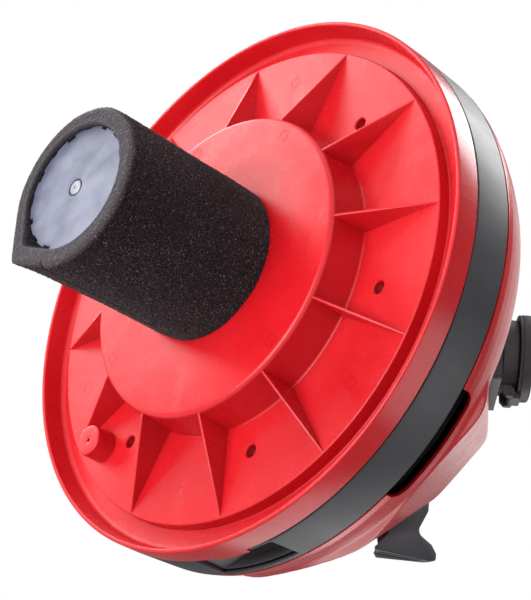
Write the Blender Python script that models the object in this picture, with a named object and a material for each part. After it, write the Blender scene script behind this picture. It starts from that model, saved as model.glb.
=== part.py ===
"""Power head of a wet and dry shop vacuum, standing on its foam filter sleeve.

Every length is in millimetres and becomes metres when a mesh is made. +Z is up, -Y is the front,
and the origin is the centre of the sleeve's lower end.
"""
import math

import bmesh
import bpy
from mathutils import Matrix, Vector

MM = 0.001
GAP = 0.3

# Driving dimensions
RIM_R = 190.0
LIP_Z = 144.0
WALL = 2.5
DOME_WALL = 3.0
SLEEVE_R = 55.0
SLEEVE_BORE_R = 42.6
CAP_R = 42.1
CAP_RECESS = 3.6
CAGE_R = 41.5
BAND_LOW = LIP_Z + 19.0
BAND_HIGH = LIP_Z + 50.7
CHANNEL_Z = LIP_Z + 15.8
DECK_R = 169.7
DECK_Z = LIP_Z + 6.3
PLATEAU_R = 109.4
PLATEAU_TOP_R = 106.9
PLATEAU_Z = LIP_Z - 21.9
GUSSETS = 12
SCREW_CIRCLE_R = 131.0
SCREW_ANGLES = (-130.0, -70.0, -10.0, 45.0, 110.0, 170.0)
WINDOW_HALF_ANGLE = 9.8
SLOT_MIDDLES = (-136.5, -43.5, 43.5, 136.5)
SLOT_HALF_ANGLE = 12.2
DOME_TOP = LIP_Z + 1.05 * RIM_R
SOCKET_TILT = 44.0
MOTOR_SHAFT_R = 4.0
BIG_SEGMENTS = 48

# Derived heights of the motor stack, each resting on the one below
PLATEAU_TOP = PLATEAU_Z + WALL
SEAL_Z = PLATEAU_TOP + 2.3 + 2 * GAP
FAN_CASE_Z = SEAL_Z + 4.0 + GAP
MOTOR_BASE_Z = FAN_CASE_Z + 41.2 + GAP

for old in list(bpy.data.objects):
    bpy.data.objects.remove(old)


def plastic(name, colour, roughness=0.4, metallic=0.0):
    material = bpy.data.materials.new(name)
    material.use_nodes = True
    shader = material.node_tree.nodes["Principled BSDF"]
    shader.inputs["Base Color"].default_value = (*colour, 1.0)
    shader.inputs["Roughness"].default_value = roughness
    shader.inputs["Metallic"].default_value = metallic
    return material


RED = (0.62, 0.014, 0.02)
BLACK = (0.035, 0.032, 0.038)
STEEL = (0.55, 0.55, 0.56)


def finish_mesh(name, mesh, colour=None, roughness=0.4, metallic=0.0, frame=None):
    """Make an object from a mesh in millimetres. With no colour it is a cutter or a guide."""
    mesh.transform(Matrix.Scale(MM, 4))
    mesh.shade_smooth()
    mesh.set_sharp_from_angle(angle=math.radians(32))
    body = bpy.data.objects.new(name, mesh)
    bpy.context.collection.objects.link(body)
    if frame is not None:
        body.matrix_world = frame
    if colour is None:
        body.hide_render = True
        body.display_type = "WIRE"
    else:
        mesh.materials.append(plastic(name, colour, roughness, metallic))
    return body


def from_bmesh(name, shape, **look):
    bmesh.ops.recalc_face_normals(shape, faces=shape.faces)
    mesh = bpy.data.meshes.new(name)
    shape.to_mesh(mesh)
    shape.free()
    return finish_mesh(name, mesh, **look)


def turned(name, profile, closed=True, segments=32, **look):
    """Turn a profile of (radius, height) points about Z. Its outer side runs from top to bottom."""
    mesh = bpy.data.meshes.new(name)
    count = len(profile)
    edges = [(i, (i + 1) % count) for i in range(count if closed else count - 1)]
    mesh.from_pydata([(radius, 0.0, height) for radius, height in profile], edges, [])
    body = finish_mesh(name, mesh, **look)
    screw = body.modifiers.new("turn", "SCREW")
    screw.steps = screw.render_steps = segments
    screw.use_merge_vertices = True
    screw.merge_threshold = 0.00005
    screw.use_smooth_shade = True
    return body


def prism(name, outline, low, high, **look):
    """Extrude an outline of (x, y) points from one height to another."""
    shape = bmesh.new()
    corners = [shape.verts.new((x, y, low)) for x, y in outline]
    base = shape.faces.new(corners)
    top = bmesh.ops.extrude_face_region(shape, geom=[base])["geom"]
    moved = [item for item in top if isinstance(item, bmesh.types.BMVert)]
    bmesh.ops.translate(shape, verts=moved, vec=(0, 0, high - low))
    return from_bmesh(name, shape, **look)


def block(name, low, high, **look):
    outline = [(low[0], low[1]), (high[0], low[1]), (high[0], high[1]), (low[0], high[1])]
    return prism(name, outline, low[2], high[2], **look)


def rod(name, radius, low, high, segments=24, at=(0.0, 0.0), **look):
    outline = [
        (at[0] + radius * math.cos(math.tau * i / segments),
         at[1] + radius * math.sin(math.tau * i / segments))
        for i in range(segments)
    ]
    return prism(name, outline, low, high, **look)


def rounded_box(half_x, half_y, corner, steps=4):
    """An outline: a rectangle with round corners."""
    points = []
    for turn, (sx, sy) in enumerate(((1, 1), (-1, 1), (-1, -1), (1, -1))):
        for i in range(steps + 1):
            angle = math.radians(90 * turn + 90 * i / steps)
            points.append((sx * (half_x - corner) + corner * math.cos(angle),
                           sy * (half_y - corner) + corner * math.sin(angle)))
    return points


def sector(inner, outer, half_angle, middle=0.0, steps=6):
    """An outline: a piece of a ring, with its middle at an angle in degrees."""
    angles = [math.radians(middle + half_angle * (2 * i / steps - 1)) for i in range(steps + 1)]
    out = [(outer * math.cos(a), outer * math.sin(a)) for a in angles]
    back = [(inner * math.cos(a), inner * math.sin(a)) for a in reversed(angles)]
    return out + back


def cut(body, tool, operation="DIFFERENCE"):
    modifier = body.modifiers.new(tool.name, "BOOLEAN")
    modifier.operation = operation
    modifier.object = tool
    modifier.solver = "EXACT"
    return body


def polar(radius, degrees):
    return radius * math.cos(math.radians(degrees)), radius * math.sin(math.radians(degrees))


# Lower housing: rim, tank channel, deck, plateau and gussets in one moulding

def lower_housing():
    flange_r = RIM_R - WALL - GAP - 0.7
    profile = [
        (flange_r, LIP_Z + 46.0), (flange_r, BAND_LOW - GAP), (RIM_R, BAND_LOW - GAP),
        (RIM_R, LIP_Z + 1.0), (RIM_R - 1.0, LIP_Z), (RIM_R - 2.6, LIP_Z),
        (RIM_R - 5.2, CHANNEL_Z - 3.0), (RIM_R - 7.6, CHANNEL_Z),
        (DECK_R, CHANNEL_Z), (DECK_R, DECK_Z + 1.0), (DECK_R - 1.0, DECK_Z), (PLATEAU_R, DECK_Z),
        (PLATEAU_TOP_R, PLATEAU_Z + 3.0), (PLATEAU_TOP_R - 3.0, PLATEAU_Z),
        (CAGE_R + GAP, PLATEAU_Z), (CAGE_R + GAP, PLATEAU_TOP),
        (PLATEAU_TOP_R - 4.0, PLATEAU_TOP), (PLATEAU_R - WALL, DECK_Z + WALL),
        (DECK_R - WALL, DECK_Z + WALL), (DECK_R - WALL, CHANNEL_Z + WALL),
        (flange_r - WALL, CHANNEL_Z + WALL), (flange_r - WALL, LIP_Z + 46.0),
    ]
    body = turned("lower_housing", profile, segments=BIG_SEGMENTS, colour=RED, roughness=0.32)
    for i in range(GUSSETS):
        cut(body, gusset(i), "UNION")
    boss_x, boss_y = polar(149.0, 52.7)
    cut(body, rod("deck_boss", 11.0, DECK_Z - 15.0, DECK_Z + 1.0, at=(boss_x, boss_y)), "UNION")
    cut(body, rod("boss_hole", 1.4, DECK_Z - 16.0, DECK_Z - 9.0, 12, (boss_x, boss_y)))
    for i, angle in enumerate(SCREW_ANGLES):
        place = polar(SCREW_CIRCLE_R, angle)
        cut(body, rod(f"deck_hole_{i}", 4.3, DECK_Z - 1.0, DECK_Z + WALL + 1.0, 12, place))
    for side in (0, 180):
        window = sector(flange_r - WALL - 1, RIM_R + 1, WINDOW_HALF_ANGLE + 0.6, side)
        cut(body, prism(f"housing_notch_{side}", window, BAND_LOW - GAP, LIP_Z + 47.0))
        lug = sector(RIM_R - 4.0, RIM_R - 0.4, 4.0, side)
        cut(body, prism(f"latch_lug_{side}", lug, BAND_LOW - 3.0, BAND_LOW + 3.6), "UNION")
    return body


def gusset(index):
    """A triangular rib: its long edge runs from the plateau's rim down to the deck's edge."""
    wall_r = PLATEAU_TOP_R - 1.4
    corners = [(wall_r, DECK_Z + 1.0), (wall_r, PLATEAU_Z + 2.0), (PLATEAU_TOP_R + 0.3, PLATEAU_Z + 2.0),
               (DECK_R - 1.2, DECK_Z), (DECK_R - 1.2, DECK_Z + 1.0)]
    frame = Matrix.Rotation(math.tau * index / GUSSETS, 4, "Z") @ Matrix.Rotation(math.pi / 2, 4, "X")
    return prism(f"gusset_{index}", corners, -1.0, 1.0, frame=frame)


def band():
    profile = [
        (RIM_R - 1.3, BAND_HIGH - GAP), (RIM_R, BAND_LOW + 2.0), (RIM_R - 0.3, BAND_LOW),
        (RIM_R - WALL - 0.5, BAND_LOW), (RIM_R - WALL - 0.5, BAND_HIGH - GAP),
    ]
    body = turned("band_ring", profile, segments=BIG_SEGMENTS, colour=BLACK, roughness=0.45)
    for side in (0, 180):
        window = sector(RIM_R - 8, RIM_R + 3, WINDOW_HALF_ANGLE, side)
        cut(body, prism(f"band_window_{side}", window, BAND_LOW - 1.0, LIP_Z + 46.2))
    return body


def latch_pocket(name, side):
    """A tray behind the band's window, which takes the head of the tank's latch."""
    low, high = BAND_LOW + 4.2, LIP_Z + 45.6
    outer = sector(RIM_R - 13.0, RIM_R - 3.4, WINDOW_HALF_ANGLE - 0.2, side)
    body = prism(name, outer, low, high, colour=BLACK, roughness=0.55)
    hollow = sector(RIM_R - 11.0, RIM_R, WINDOW_HALF_ANGLE - 0.9, side)
    return cut(body, prism(f"{name}_hollow", hollow, low + 2.0, high - 2.0))


# Dome cover: a round foot that rises into a long octagon with a sloping front

LOWER_DOME = ((0.268, 0.993), (0.30, 0.985), (0.34, 0.968), (0.385, 0.945), (0.43, 0.918),
              (0.46, 0.895), (0.50, 0.80), (0.60, 0.50), (0.65, 0.0))
DOME_LEVELS = (0.268, 0.30, 0.34, 0.385, 0.43, 0.46, 0.50, 0.68, 0.86, 0.99, 1.035, 1.05)
CORNER_SHARPNESS = 26
FRONT_FOOT = 0.74
FRONT_SLOPE = 0.785
CORNER_REACH = 0.93


def round_radius(level):
    """Radius of the round foot at a level, both in rim radii."""
    for (low, r_low), (high, r_high) in zip(LOWER_DOME, LOWER_DOME[1:]):
        if level <= high:
            return r_low + (r_high - r_low) * (level - low) / (high - low)
    return 0.0


def octagon_radius(level, angle):
    """Radius of the upper octagon at a level, in rim radii: flat sides, front, back and corners."""
    rise = level - 0.5
    x, y = abs(math.cos(angle)), abs(math.sin(angle))
    if math.sin(angle) < 0:
        end, corner = y / (FRONT_FOOT - FRONT_SLOPE * rise), (0.798 * x + 0.602 * y) / (0.864 - 0.786 * rise)
    else:
        end, corner = y / (0.80 - 0.30 * rise), (x + y) / (1.30 - 0.72 * rise)
    side = x / (0.895 - 0.74 * rise)
    power = CORNER_SHARPNESS
    return (side ** power + end ** power + corner ** power) ** (-1 / power)


def dome_section(level, inset):
    shrink = {0: 5.0, 1: 0.9}.get(len(DOME_LEVELS) - 1 - DOME_LEVELS.index(level), 0.0)
    points = []
    for i in range(BIG_SEGMENTS):
        angle = math.tau * i / BIG_SEGMENTS
        radius = round_radius(level)
        if level > 0.40:
            radius = max(radius, min(octagon_radius(level, angle), CORNER_REACH))
        radius = radius * RIM_R - inset - shrink
        points.append((radius * math.cos(angle), radius * math.sin(angle)))
    return points


def dome_solid(name, inset, foot_drop=0.0, **look):
    """The dome's outer shape moved inwards by an inset, as one closed solid."""
    shape = bmesh.new()
    rings = []
    for level in DOME_LEVELS:
        height = LIP_Z + level * RIM_R
        if level == DOME_LEVELS[0]:
            height += GAP - foot_drop
        elif level >= 0.99:
            height -= inset
        rings.append([shape.verts.new((x, y, height)) for x, y in dome_section(level, inset)])
    for low, high in zip(rings, rings[1:]):
        for i in range(BIG_SEGMENTS):
            j = (i + 1) % BIG_SEGMENTS
            shape.faces.new((low[i], low[j], high[j]))
            shape.faces.new((low[i], high[j], high[i]))
    shape.faces.new(list(reversed(rings[0])))
    shape.faces.new(rings[-1])
    return from_bmesh(name, shape, **look)


def slot_tool(index, middle):
    """A long exhaust slot: a box bent around the dome's foot, with its ends rounded."""
    low, high = BAND_HIGH - 1.0, LIP_Z + 0.343 * RIM_R
    middle_z = (low + high) / 2
    round_end = math.degrees((high - middle_z) / RIM_R)
    body = prism(f"slot_{index}", sector(174, 196, SLOT_HALF_ANGLE - round_end, middle), low, high)
    for side in (-1, 1):
        angle = middle + side * (SLOT_HALF_ANGLE - round_end)
        tilt = Matrix.Rotation(math.radians(angle), 4, "Z") @ Matrix.Rotation(math.pi / 2, 4, "Y")
        frame = Matrix.Translation((0, 0, middle_z * MM)) @ tilt
        cut(body, rod(f"slot_end_{index}_{side}", high - middle_z, 170, 200, 16, frame=frame), "UNION")
    return body


def tilted_frame(origin, axis):
    """A local frame: Z along an axis that lies in the YZ plane, X as the object's."""
    across = axis.cross(Vector((1, 0, 0)))
    turn = Matrix((Vector((1, 0, 0)), across, axis)).transposed().to_4x4()
    return Matrix.Translation(origin * MM) @ turn


def socket_frame():
    """Local frame of the lidded socket, with its origin on the panel."""
    tilt = math.radians(SOCKET_TILT)
    axis = Vector((0, -math.cos(tilt), math.sin(tilt)))
    lid_middle = Vector((0, -0.443 * RIM_R, LIP_Z + 1.085 * RIM_R))
    return tilted_frame(lid_middle - 39.0 * axis, axis)


def switch_frame():
    """Local frame of the switch: Z off the sloping panel, origin on it."""
    level = 0.66
    reach = (FRONT_FOOT - FRONT_SLOPE * (level - 0.5)) * RIM_R
    axis = Vector((0, -1, FRONT_SLOPE)).normalized()
    return tilted_frame(Vector((-50.0, -reach, LIP_Z + level * RIM_R)), axis)


def gland_frame():
    """Local frame of the cord gland: Z out of the rear wall, origin on it."""
    level = 0.62
    lean = math.atan(0.30)
    reach = (0.80 - 0.30 * (level - 0.5)) * RIM_R
    axis = Vector((0, math.cos(lean), math.sin(lean)))
    return tilted_frame(Vector((0, reach, LIP_Z + level * RIM_R)), axis)


def dome_cover():
    body = dome_solid("dome_cover", 0.0, colour=RED, roughness=0.34)
    cut(body, dome_solid("dome_hollow", DOME_WALL, foot_drop=5.0))
    limit = dome_solid("post_limit", DOME_WALL / 2, foot_drop=60.0)
    for i, angle in enumerate(SCREW_ANGLES):
        place = polar(SCREW_CIRCLE_R, angle)
        foot = DECK_Z + WALL + GAP
        post = rod(f"screw_post_{i}", 6.5, foot, DOME_TOP, 12, place)
        cut(post, limit, "INTERSECT")
        cut(body, post, "UNION")
        cut(body, rod(f"post_bore_{i}", 4.3, foot - 1.0, foot + 10.0, 12, place))
        cut(body, rod(f"post_pilot_{i}", 2.1, foot - 1.0, foot + 34.0, 8, place))
    for i, middle in enumerate(SLOT_MIDDLES):
        cut(body, slot_tool(i, middle))
    cut(body, rod("socket_opening", 22.2, -14.0, 19.0, 32, frame=socket_frame()))
    cut(body, block("switch_opening", (-19.2, -11.2, -8.0), (19.2, 11.2, 6.0), frame=switch_frame()))
    cut(body, rod("gland_opening", 9.3, -8.0, 8.0, 20, frame=gland_frame()))
    return body


def deck_screws():
    seat = DECK_Z + WALL + GAP + 10.0
    profile = [(0.0, seat + 24.0), (1.7, seat + 22.0), (1.7, seat - GAP), (3.9, seat - GAP),
               (3.9, seat - 3.0), (0.0, seat - 3.6)]
    for i, angle in enumerate(SCREW_ANGLES):
        screw = turned(f"deck_screw_{i + 1}", profile, False, 10, colour=STEEL, roughness=0.3, metallic=1.0)
        screw.location = Vector((*polar(SCREW_CIRCLE_R, angle), 0.0)) * MM


def exhaust_baffle():
    low = CHANNEL_Z + WALL + GAP
    profile = [(174.0, low + 50.0), (174.0, low), (171.8, low), (171.8, low + 50.0)]
    return turned("exhaust_baffle", profile, colour=BLACK, roughness=0.7)


# Lidded socket on the front panel

LID_R = 30.5
LID_LOW = 33.2
LID_HIGH = 42.75
PLINTH_HALF = 29.5
PLINTH_TOP = 20.7
HINGE_X = 31.4
HINGE_Z = 29.4


def socket_plinth():
    frame = socket_frame()
    outline = rounded_box(PLINTH_HALF, PLINTH_HALF, 6.0)
    body = prism("socket_plinth", outline, -8.0, PLINTH_TOP, colour=BLACK, roughness=0.5, frame=frame)
    cut(body, dome_solid("plinth_seat", -GAP))
    cut(body, rod("plinth_bore", 21.9, -20.0, PLINTH_TOP + 1.0, 32, frame=frame))
    return body


def socket_body():
    frame = socket_frame()
    low = PLINTH_TOP + GAP
    body = rod("socket_body", 27.0, low, LID_LOW - GAP, 40, frame=frame, colour=BLACK, roughness=0.45)
    cut(body, rod("socket_spigot", 21.5, -4.0, low + 1.0, 32, frame=frame), "UNION")
    pin = HINGE_Z - low
    ear = [(26.0, pin - 6.7), (HINGE_X - 1.0, pin - 6.7), (HINGE_X + 2.6, pin - 4.7), (HINGE_X + 2.6, pin),
           (HINGE_X + 1.0, pin + 2.1), (HINGE_X - 2.6, pin + 2.1), (26.0, pin - 0.7)]
    for side in (-1, 1):
        ear_frame = frame @ Matrix.Translation((0, side * 8.0 * MM, low * MM))
        ear_frame = ear_frame @ Matrix.Rotation(math.pi / 2, 4, "X")
        cut(body, prism(f"hinge_ear_{side}", ear, -1.6, 1.6, frame=ear_frame), "UNION")
    cut(body, rod("socket_cup", 19.6, 16.0, LID_LOW + 1.0, 32, frame=frame))
    for side in (-1, 1):
        cut(body, rod(f"pin_hole_{side}", 2.5, 2.0, 17.0, 12, (side * 9.5, 0.0), frame=frame))
    cut(body, hinge_bore("ear_bore", 1.25, 12.0))
    return body


def hinge_bore(name, radius, half_length, **look):
    """A rod along the lid's hinge line."""
    frame = socket_frame() @ Matrix.Translation((HINGE_X * MM, 0, HINGE_Z * MM))
    return rod(name, radius, -half_length, half_length, 14,
               frame=frame @ Matrix.Rotation(math.pi / 2, 4, "X"), **look)


def socket_lid():
    frame = socket_frame() @ Matrix.Translation((HINGE_X * MM, 0, HINGE_Z * MM))
    disc = rod("socket_lid", LID_R, LID_LOW - HINGE_Z, LID_HIGH - HINGE_Z, 40, (-HINGE_X, 0.0),
               frame=frame, colour=BLACK, roughness=0.42)
    bevel = disc.modifiers.new("edge", "BEVEL")
    bevel.width = 0.0016
    bevel.segments = 2
    bevel.limit_method = "ANGLE"
    bevel.angle_limit = math.radians(50)
    knuckle = hinge_bore("lid_knuckle", 2.6, 6.0)
    cut(disc, knuckle, "UNION")
    arm = block("lid_arm", (-2.4, -6.0, 0.0), (2.4, 6.0, 6.0), frame=frame)
    bridge = block("lid_bridge", (-12.0, -6.0, LID_LOW - HINGE_Z + 0.2), (2.4, 6.0, 6.0), frame=frame)
    cut(disc, arm, "UNION")
    cut(disc, bridge, "UNION")
    cut(disc, hinge_bore("knuckle_bore", 1.25, 12.0))
    return disc


def hinge_pin():
    return hinge_bore("lid_hinge_pin", 1.2, 10.4, colour=STEEL, roughness=0.3, metallic=1.0)


# Switch, cord gland, handle and cord hooks

def switch():
    frame = switch_frame()
    bezel = prism("switch_bezel", rounded_box(24.0, 16.0, 3.0, 3), -0.6, 2.0, frame=frame,
                  colour=BLACK, roughness=0.45)
    cut(bezel, dome_solid("bezel_seat", -GAP))
    cut(bezel, block("bezel_opening", (-18.6, -10.6, -4.0), (18.6, 10.6, 4.0), frame=frame))
    case = block("switch_body", (-18.2, -10.2, -24.0), (18.2, 10.2, -1.2), frame=frame,
                 colour=(0.08, 0.08, 0.09), roughness=0.5)
    cut(case, block("switch_well", (-15.4, -8.4, -12.0), (15.4, 8.4, 0.0), frame=frame))
    outline = [(-14.4, 1.5), (-12.5, 3.6), (0.0, 2.2), (12.5, 3.6), (14.4, 1.5), (9.0, -5.5), (-9.0, -5.5)]
    rocker = prism("switch_rocker", outline, -7.6, 7.6, colour=(0.5, 0.02, 0.02), roughness=0.35,
                   frame=frame @ Matrix.Rotation(math.pi / 2, 4, "X"))
    return bezel, case, rocker


def cord_gland():
    frame = gland_frame()
    body = rod("cord_gland", 9.0, -6.0, 14.0, 24, frame=frame, colour=BLACK, roughness=0.6)
    cut(body, rod("gland_flange", 12.5, 1.2, 4.2, 24, frame=frame), "UNION")
    return cut(body, rod("gland_bore", 4.2, -8.0, 16.0, 16, frame=frame))


def carry_handle():
    """An arch along Y on the dome's flat top, with feet that rest on it."""
    low, high = DOME_TOP + GAP, LIP_Z + 1.285 * RIM_R
    front, back, bar, foot = 14.0, 118.0, 13.0, 15.0
    arch = [(front, low), (front + foot, low), (front + foot + 1.0, high - bar - 5.0),
            (front + foot + 6.0, high - bar), (back - foot - 6.0, high - bar),
            (back - foot - 1.0, high - bar - 5.0), (back - foot, low), (back, low),
            (back - 1.0, high - 10.0), (back - 9.0, high), (front + 13.0, high), (front + 3.0, high - 9.0)]
    frame = Matrix(((0, 0, 1, 0), (1, 0, 0, 0), (0, 1, 0, 0), (0, 0, 0, 1)))
    body = prism("carry_handle", arch, -15.0, 15.0, frame=frame, colour=BLACK, roughness=0.5)
    bevel = body.modifiers.new("soft edges", "BEVEL")
    bevel.width = 0.003
    bevel.segments = 2
    bevel.limit_method = "ANGLE"
    bevel.angle_limit = math.radians(60)
    return body


HOOK_Y = 4.5
HOOK_HALF = 8.5


def cord_hook(name, side):
    """An arm out of the dome's shoulder with a paddle that leans over its side wall."""
    r = RIM_R
    outline = [(0.462 * r, 0.925 * r), (0.455 * r, 1.075 * r), (0.52 * r, 1.085 * r), (0.597 * r, 1.052 * r),
               (0.645 * r, 1.132 * r), (0.668 * r, 1.140 * r), (0.690 * r, 1.118 * r), (0.752 * r, 0.80 * r),
               (0.728 * r, 0.80 * r), (0.63 * r, 0.955 * r), (0.60 * r, 0.925 * r)]
    if side < 0:
        outline = [(-x, z) for x, z in reversed(outline)]
    frame = Matrix.Translation((0, HOOK_Y * MM, LIP_Z * MM)) @ Matrix.Rotation(math.pi / 2, 4, "X")
    body = prism(name, outline, -HOOK_HALF, HOOK_HALF, frame=frame, colour=BLACK, roughness=0.5)
    return cut(body, dome_solid(f"{name}_seat", -GAP))


# Filter: cage, end cap, foam sleeve and float

def filter_cage():
    low, flange_z = CAP_RECESS + 3.0 + GAP, PLATEAU_TOP + GAP
    profile = [(CAGE_R, flange_z), (CAGE_R, low), (CAGE_R - 2.2, low), (CAGE_R - 2.2, flange_z + 2.3),
               (47.0, flange_z + 2.3), (47.0, flange_z)]
    body = turned("filter_cage", profile, colour=BLACK, roughness=0.55)
    rows = ((14.0, 60.0), (66.0, 112.0))
    for i in range(8):
        for low_z, high_z in rows:
            tool = prism(f"cage_window_{i}_{low_z:.0f}", sector(36, 46, 17.0, 45.0 * i, 4), low_z, high_z)
            cut(body, tool)
    return body


def filter_end_cap():
    top = CAP_RECESS + 3.0
    profile = [(0.0, top), (CAGE_R - 3.7, top), (CAGE_R - 3.7, top + 5.0), (CAGE_R - 2.5, top + 5.0),
               (CAGE_R - 2.5, top), (CAP_R - 0.5, top), (CAP_R, top - 0.6), (CAP_R, CAP_RECESS + 0.6),
               (CAP_R - 0.6, CAP_RECESS), (0.0, CAP_RECESS)]
    body = turned("filter_end_cap", profile, False, 32, colour=(0.40, 0.41, 0.52), roughness=0.35)
    for i in range(8):
        frame = Matrix.Rotation(math.radians(45.0 * i + 8.0), 4, "Z")
        low_corner, high_corner = (CAP_R - 2.2, -1.3, CAP_RECESS - 1), (CAP_R + 2, 1.3, top + 1)
        cut(body, block(f"cap_notch_{i}", low_corner, high_corner, frame=frame))
    return body


def foam_sleeve():
    top = PLATEAU_Z - GAP
    profile = [(SLEEVE_R, top), (SLEEVE_R, 6.0), (SLEEVE_R - 1.8, 1.8), (SLEEVE_R - 6.0, 0.0),
               (SLEEVE_BORE_R + 2.0, 0.0), (SLEEVE_BORE_R, 2.0), (SLEEVE_BORE_R, top)]
    return turned("foam_sleeve", profile, colour=(0.016, 0.012, 0.014), roughness=1.0)


FLOAT_R = 28.0
FLOAT_Z = CAP_RECESS + 3.0 + GAP + FLOAT_R


def float_ball():
    shape = bmesh.new()
    bmesh.ops.create_uvsphere(shape, u_segments=16, v_segments=10, radius=FLOAT_R)
    bmesh.ops.translate(shape, verts=shape.verts, vec=(0, 0, FLOAT_Z))
    return from_bmesh("float_ball", shape, colour=(0.75, 0.75, 0.72), roughness=0.4)


def inlet_seal():
    top = SEAL_Z + 4.0
    profile = [(52.0, top), (52.0, SEAL_Z), (23.0, SEAL_Z), (22.0, SEAL_Z + 1.0), (22.0, top)]
    return turned("inlet_seal", profile, segments=32, colour=(0.02, 0.02, 0.02), roughness=0.8)


# Motor and fan

def fan_case():
    low, high = FAN_CASE_Z, FAN_CASE_Z + 41.2
    profile = [(62.0, high), (62.0, low + 2.0), (60.0, low), (20.0, low), (20.0, low + 1.4),
               (59.4, low + 1.4), (60.6, low + 2.6), (60.6, high)]
    body = turned("fan_case", profile, colour=STEEL, roughness=0.35, metallic=1.0)
    for i in range(6):
        tool = prism(f"case_outlet_{i}", sector(58, 66, 14.0, 60.0 * i, 2), high - 14.0, high - 4.0)
        cut(body, tool)
    return body


def impeller():
    low = FAN_CASE_Z + 6.0
    bore = MOTOR_SHAFT_R + GAP
    profile = [(54.0, low + 20.0), (54.0, low + 18.0), (11.0, low + 18.0), (9.0, low + 2.0),
               (bore, low + 2.0), (bore, low + 20.0)]
    body = turned("impeller", profile, segments=24, colour=STEEL, roughness=0.4, metallic=1.0)
    front = turned("impeller_shroud", [(54.0, low + 4.0), (54.0, low + 2.6), (24.0, low), (24.0, low + 1.4)],
                   segments=24)
    for i in range(6):
        blade = [polar(26 + 26 * t / 3, 60 * i - 18 * t) for t in range(4)]
        back = [polar(26 + 26 * t / 3, 60 * i - 18 * t - 3) for t in reversed(range(4))]
        tool = prism(f"impeller_blade_{i}", blade + back, low + 1.0, low + 19.0)
        cut(body, tool, "UNION")
    return cut(body, front, "UNION")


def motor():
    base = MOTOR_BASE_Z
    bearing = [(11.0, 7.0), (11.0, 0.0), (MOTOR_SHAFT_R + GAP, 0.0), (MOTOR_SHAFT_R + GAP, 7.0)]
    frame_top = base + 96.0

    def stacked(name, profile, z, segments, **look):
        return turned(name, [(radius, height + z) for radius, height in profile], segments=segments, **look)

    stacked("motor_base", [(63.0, 3.0), (63.0, 0.0), (6.5, 0.0), (6.5, 1.6), (11.3, 1.6), (11.3, 9.6),
                           (14.5, 9.6), (14.5, 3.0)], base, 28, colour=STEEL, roughness=0.4, metallic=1.0)
    stacked("bearing_lower", bearing, base + 1.9, 20, colour=STEEL, roughness=0.25, metallic=1.0)
    frame = stacked("motor_frame", [(48.0, 96.0), (48.0, 3.0 + GAP), (45.5, 3.0 + GAP), (45.5, 93.0),
                                    (6.5, 93.0), (6.5, 94.6), (11.3, 94.6), (11.3, 103.0), (14.5, 103.0),
                                    (14.5, 96.0)], base, 28, colour=STEEL, roughness=0.4, metallic=1.0)
    for i in range(4):
        tool = prism(f"frame_window_{i}", sector(40, 52, 24.0, 90.0 * i, 2), base + 8.0, base + 88.0)
        cut(frame, tool)
    stacked("bearing_upper", bearing, frame_top - 1.1, 20, colour=STEEL, roughness=0.25, metallic=1.0)
    stacked("stator", [(45.0, 76.0), (45.0, 22.0), (26.0, 22.0), (26.0, 76.0)], base, 32,
            colour=(0.20, 0.19, 0.19), roughness=0.5, metallic=0.6)
    bore = MOTOR_SHAFT_R + GAP
    stacked("armature", [(16.0, 80.0), (18.5, 74.0), (24.5, 72.0), (24.5, 26.0), (18.5, 24.0), (16.0, 16.0),
                         (bore, 16.0), (bore, 80.0)], base, 28, colour=(0.45, 0.20, 0.08), roughness=0.45,
            metallic=0.7)
    stacked("commutator", [(11.5, 90.0), (11.5, 80.6), (bore, 80.6), (bore, 90.0)], base, 24,
            colour=(0.60, 0.30, 0.14), roughness=0.35, metallic=1.0)
    for name, side in (("brush_holder_left", -1), ("brush_holder_right", 1)):
        reach = sorted((side * 12.0, side * 44.5))
        block(name, (reach[0], -4.0, base + 81.6), (reach[1], 4.0, base + 89.0),
              colour=(0.35, 0.24, 0.08), roughness=0.4, metallic=0.8)
    shaft_low, shaft_high = FAN_CASE_Z + 5.0, base + 118.0
    profile = [(0.0, shaft_high), (MOTOR_SHAFT_R - 0.6, shaft_high), (MOTOR_SHAFT_R, shaft_high - 0.6),
               (MOTOR_SHAFT_R, shaft_low), (0.0, shaft_low)]
    turned("motor_shaft", profile, False, 20, colour=STEEL, roughness=0.2, metallic=1.0)
    fan = stacked("cooling_fan", [(9.0, 116.0), (34.0, 108.0), (34.0, 106.2), (bore, 106.2), (bore, 116.0)],
                  base, 28, colour=(0.05, 0.05, 0.055), roughness=0.5)
    for i in range(8):
        tool = block(f"fan_blade_{i}", (8.0, -0.9, base + 107.0), (33.0, 0.9, base + 115.0),
                     frame=Matrix.Rotation(math.radians(45.0 * i + 10.0), 4, "Z"))
        cut(fan, tool, "UNION")


def motor_shroud():
    low, high = PLATEAU_TOP + GAP, MOTOR_BASE_Z + 128.0
    profile = [(56.0, high), (68.0, high - 12.0), (68.0, low + 2.4), (82.0, low + 2.4), (82.0, low),
               (65.6, low), (65.6, high - 13.0), (55.0, high - 2.4), (24.0, high - 2.4), (24.0, high)]
    body = turned("motor_shroud", profile, colour=BLACK, roughness=0.6)
    for i in range(6):
        tool = prism(f"shroud_outlet_{i}", sector(62, 72, 14.0, 60.0 * i, 2), low + 30.0, low + 46.0)
        cut(body, tool)
    flange_top = low + 2.4 + GAP
    profile = [(0.0, low + 5.2), (3.8, low + 4.6), (3.8, flange_top), (1.8, flange_top),
               (1.8, low + GAP), (0.0, low + GAP)]
    for i in range(3):
        place = polar(75.0, 120.0 * i + 30.0)
        cut(body, rod(f"shroud_hole_{i}", 2.2, low - 1, low + 4, 12, place))
        screw = turned(f"shroud_screw_{i + 1}", profile, False, 10, colour=STEEL, roughness=0.3, metallic=1.0)
        screw.location = Vector((*place, 0.0)) * MM
    return body


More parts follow.
